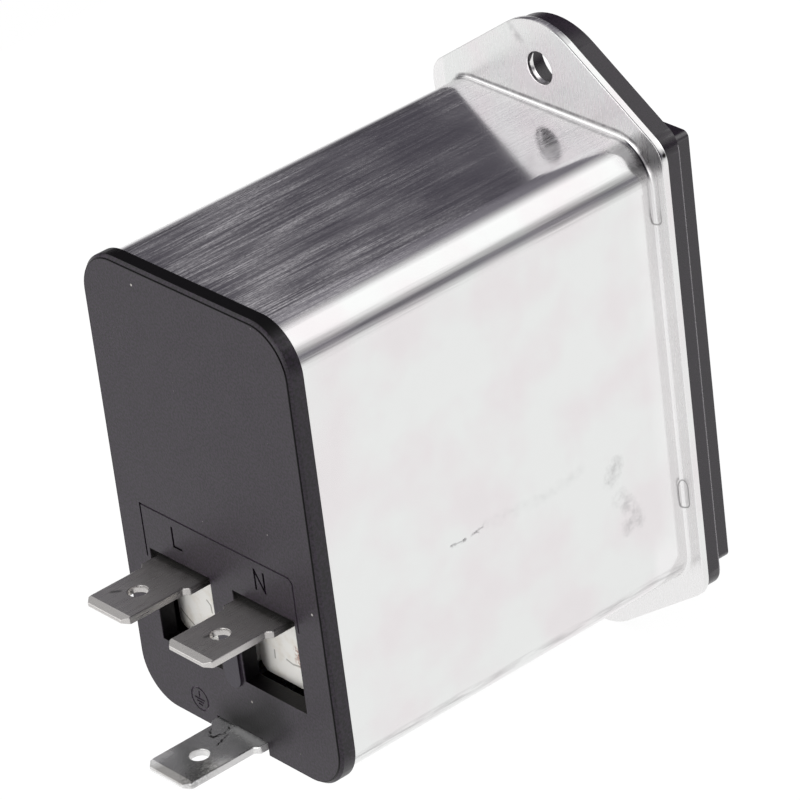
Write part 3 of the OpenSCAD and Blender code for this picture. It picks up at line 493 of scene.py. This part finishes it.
# Front moulding
front = {
    "tint": ("#160c19", "#271929"), "dust": "#9c9894", "grain": 0.2, "mottle": 3.0, "speckCell": 2.6,
    "speckHalf": 0.035, "rough": (0.24, 0.34), "specular": 0.64, "bump": 0.012,
    "paintedLight": "#a8a4a8", "edgeY": -2.99, "edgeSpan": (0.04, 0.12, 1.0, 0.0), "edgeX": (15.7, 15.8),
}


def paintedEdgeHighlight(tree, spec, point, place, colour):
    # painted highlight: a pale thin line along the front edge of the bezel
    fromEdge = add(tree, "Math", [place.outputs["Y"], spec["edgeY"]], operation="SUBTRACT")
    spans = [("offEdge", *spec["edgeSpan"]), ("acrossX", *spec["edgeX"])]
    line = within(tree, {
        "offEdge": add(tree, "Math", [fromEdge], operation="ABSOLUTE"),
        "acrossX": add(tree, "Math", [place.outputs["X"]], operation="ABSOLUTE")}, spans)
    return layers(tree, colour, [(line, spec["paintedLight"])]), spec["specular"]


housingPlastic = mouldedPlastic("black moulded plastic", front, paintedEdgeHighlight)  # satin black, with a painted highlight along one edge
dress(["inlet_housing"], housingPlastic)

# Drawer
drawer = {
    "tint": ("#171518", "#211d22"), "dust": "#9c9894", "grain": 0.24, "mottle": 3.4, "speckCell": 3.0,
    "speckHalf": 0.03, "rough": (0.3, 0.42), "specular": 0.6, "bump": 0.012,
}
dress(["fuse_drawer"], mouldedPlastic("black satin moulded plastic", drawer))  # a little duller than the housing

# Terminals
tabs = {
    "tint": "#cbc8c6", "scratched": "#4a4744", "tabRootShade": "#65625f", "roll": (0.09, 3.5, 0.09), "tarnish": 1.6,
    "scratches": [((8.1, 54.2, -7.5), (7.6, 53.6, -7.5)), ((-5.5, 53.7, -7.5), (-5.7, 52.9, -7.5))],
    "scratchSize": (0.04, 0.28, 0.7), "root": (49.6, 47.4), "towardRoot": (52.5, 48.5, 0.0, 0.4),
    "smokySpan": (0.3, 0.7, 0.5, 1.0), "metallicSpan": (0.3, 0.7, 0.9, 0.82), "roughSpan": (0.3, 0.7, 0.24, 0.38),
    "bumpStrength": 0.3, "bump": 0.006,
}
tabMetal, tree = material("tinned brass")  # dull grey plating with fine rolling lines
point = millimetres(tree)
rolled = uneven(tree, point, tabs["roll"], 4.0)
tarnish = uneven(tree, point, tabs["tarnish"])
y = add(tree, "SeparateXYZ", [point]).outputs["Y"]
# painted shade: darker towards the root, where the tab mirrors the dark cap, mottled by the tarnish pattern
tabRootShade = either(tree, add(tree, "MapRange", [y, *tabs["root"]]), add(tree, "MapRange", [y, *tabs["towardRoot"]]))
tabRootShade = overlap(tree, tabRootShade, add(tree, "MapRange", [tarnish, *tabs["smokySpan"]]))
scratched = marks(tree, point, tabs["scratches"], *tabs["scratchSize"])
colour = layers(tree, linear(tabs["tint"]), [(tabRootShade, tabs["tabRootShade"]), (scratched, tabs["scratched"])])
bump = add(tree, "Bump", {"Height": rolled, "Strength": tabs["bumpStrength"], "Distance": tabs["bump"] * mm})
surface(tree, Base_Color=colour, Metallic=add(tree, "MapRange", [tarnish, *tabs["metallicSpan"]]),
        Roughness=add(tree, "MapRange", [rolled, *tabs["roughSpan"]]), Normal=bump)
dress(["line_terminal", "neutral_terminal"], tabMetal)

# White capacitors
whites = {
    "tint": "#fdfbf6", "aged": "#e6dfd2", "spot": "#a0664e", "wrinkleShade": "#7d776e", "back": 43.7,
    "patch": 1.8, "agedSpan": (0.5, 0.8), "roughSpan": (0.3, 0.7, 0.42, 0.58), "bumpStrength": 0.3, "bump": 0.05,
    "spots": [((-6.1, -13.8), (-6.3, -14.6)), ((-6.0, -15.2), (-6.2, -15.4))],
    "spotSize": (0.08, 0.5), "spotGrain": 0.3, "spotSpan": (0.4, 0.6),
    "wrinkles": [((11.97, -16.1), (11.47, -16.5)), ((11.47, -16.5), (10.1, -17.3)), ((7.38, -13.4), (6.86, -13.8)),
                 ((6.86, -13.8), (6.79, -14.6)), ((-2.56, -15.2), (-2.51, -16.1)), ((-4.34, -15.6), (-5.22, -15.8)),
                 ((-5.22, -15.8), (-6.65, -15.6))],
    "wrinkleSize": (0.02, 0.13, 0.75),
}
whiteBox, tree = material("cream moulded case")  # soft white with faint stains
point = millimetres(tree)
aged = uneven(tree, point, whites["patch"], 4.0)
spotted = marks(tree, point, onFace(whites["spots"], 1, whites["back"]), *whites["spotSize"])
spotted = overlap(tree, spotted, uneven(tree, point, whites["spotGrain"], span=whites["spotSpan"]))
# painted shade along the folds in the case's coating
wrinkleShadeMask = marks(tree, point, onFace(whites["wrinkles"], 1, whites["back"]), *whites["wrinkleSize"])
colour = layers(tree, linear(whites["tint"]), [
    (add(tree, "MapRange", [aged, *whites["agedSpan"]]), whites["aged"]), (spotted, whites["spot"]),
    (wrinkleShadeMask, whites["wrinkleShade"]),
])
bump = add(tree, "Bump", {"Height": aged, "Strength": whites["bumpStrength"], "Distance": whites["bump"] * mm})
surface(tree, Base_Color=colour, Roughness=add(tree, "MapRange", [aged, *whites["roughSpan"]]), Normal=bump)
dress(["line_y_capacitor", "neutral_y_capacitor"], whiteBox)
print("outside")

# Pieces inside and at the front
inner = {
    "nickel plated brass": {  # bright contact faces
        "nodes": ["line_pin", "neutral_pin", "earth_pin"],
        "tint": "#cfc9bd", "grain": (0.08, 4.0, 0.08), "rough": (0.16, 0.3), "metallic": 1.0, "bump": 0.004},
    "rolled spring bronze": {  # warm satin strip
        "nodes": ["line_front_clip", "line_rear_clip", "neutral_front_clip", "neutral_rear_clip"],
        "tint": "#c7a062", "grain": (3.0, 3.0, 0.1), "rough": (0.24, 0.4), "metallic": 1.0, "bump": 0.005},
    "nickel plated fuse cap": {  # bright pressed cups
        "nodes": ["line_fuse_front_cap", "line_fuse_rear_cap", "neutral_fuse_front_cap", "neutral_fuse_rear_cap"],
        "tint": "#d2cfc9", "grain": 0.5, "rough": (0.14, 0.28), "metallic": 1.0, "bump": 0.006},
    "tinned fuse wire": {  # dull silver thread
        "nodes": ["line_fuse_wire", "neutral_fuse_wire"],
        "tint": "#b9b6b0", "grain": (0.05, 1.0, 0.05), "rough": (0.25, 0.4), "metallic": 1.0, "bump": 0.003},
    "coated ferrite": {  # matt green-grey ring
        "nodes": ["choke_core"],
        "tint": "#4a5a4e", "grain": 0.3, "rough": (0.5, 0.7), "metallic": 0.0, "bump": 0.02},
    "enamelled copper": {  # glossy red-brown turns
        "nodes": ["line_winding", "neutral_winding"],
        "tint": "#b8692f", "grain": 0.8, "rough": (0.16, 0.3), "metallic": 0.9, "bump": 0.006},
    "boxed film capacitor": {  # satin yellow case
        "nodes": ["x_capacitor"],
        "tint": "#c9ad3c", "grain": 0.35, "rough": (0.35, 0.5), "metallic": 0.0, "bump": 0.015},
    "lacquered resistor": {  # buff body with a soft gloss
        "nodes": ["bleed_resistor"],
        "tint": "#c9b28c", "grain": 0.5, "rough": (0.3, 0.45), "metallic": 0.0, "bump": 0.01},
    "pressed insulating board": {  # dull cream sheet with fibres
        "nodes": ["insulating_liner"],
        "tint": "#d8cfad", "grain": (0.3, 2.0, 0.3), "rough": (0.6, 0.8), "metallic": 0.0, "bump": 0.02},
    "tinned copper strip": {  # soft silver strap
        "nodes": ["earth_strap"],
        "tint": "#c4c0b8", "grain": (0.1, 3.0, 0.1), "rough": (0.24, 0.4), "metallic": 1.0, "bump": 0.005},
    "silicone sleeving": {  # dull brown sleeves
        "nodes": ["line_inlet_lead", "neutral_inlet_lead"],
        "tint": "#5c402e", "grain": 0.4, "rough": (0.45, 0.6), "metallic": 0.0, "bump": 0.012},
}
innerWear = {"patch": 3.0, "span": (0.5, 0.8), "darker": 0.72, "grainSpan": (0.3, 0.7), "bumpStrength": 0.4}
for name, spec in inner.items():
    made, tree = material(name)
    point = millimetres(tree)
    grain = uneven(tree, point, spec["grain"], 4.0)
    wear = uneven(tree, point, innerWear["patch"], span=innerWear["span"])
    tint = linear(spec["tint"])
    darker = tuple(c * innerWear["darker"] for c in tint[:3]) + (1.0,)
    bump = add(tree, "Bump", {
        "Height": grain, "Strength": innerWear["bumpStrength"], "Distance": spec["bump"] * mm})
    surface(tree, Base_Color=layers(tree, tint, [(wear, darker)]), Metallic=spec["metallic"],
            Roughness=add(tree, "MapRange", [grain, *innerWear["grainSpan"], *spec["rough"]]), Normal=bump)
    dress(spec["nodes"], made)

# Fuse tubes
glass = {
    "tint": "#f2f7f6", "ior": 1.5, "draw": (0.4, 6.0, 0.4), "roughSpan": (0.3, 0.7, 0.01, 0.05),
    "bumpStrength": 0.1, "bump": 0.01,
}
fuseGlass, tree = material("clear drawn glass")  # clear tube with faint drawing lines
draw = uneven(tree, millimetres(tree), glass["draw"])
bump = add(tree, "Bump", {"Height": draw, "Strength": glass["bumpStrength"], "Distance": glass["bump"] * mm})
surface(tree, Base_Color=linear(glass["tint"]), Transmission_Weight=1.0, IOR=glass["ior"],
        Roughness=add(tree, "MapRange", [draw, *glass["roughSpan"]]), Normal=bump)
dress(["line_fuse_tube", "neutral_fuse_tube"], fuseGlass)
print("inside")

# Broken edges, with widths in mm and the angle in degrees
edges = {
    "weld": 0.002, "angle": 38, "segments": 2,
    "widths": {
        0.12: ["rear_cap", "inlet_housing", "fuse_drawer"],
        0.1: ["line_terminal", "neutral_terminal", "line_pin", "neutral_pin", "earth_pin", "metal_can"],
        0.2: ["line_y_capacitor", "neutral_y_capacitor"],
    },
}
for width, names in edges["widths"].items():
    for name in names:
        weld = nodes[name].modifiers.new("weld", "WELD")
        weld.merge_threshold = edges["weld"] * mm
        bevel = nodes[name].modifiers.new("bevel", "BEVEL")
        bevel.width = width * mm
        bevel.segments = edges["segments"]
        bevel.limit_method = "ANGLE"
        bevel.angle_limit = math.radians(edges["angle"])
        bevel.use_clamp_overlap = True
        bevel.miter_outer = "MITER_ARC"
        nodes[name].modifiers.new("normals", "WEIGHTED_NORMAL").keep_sharp = True
print("edges")
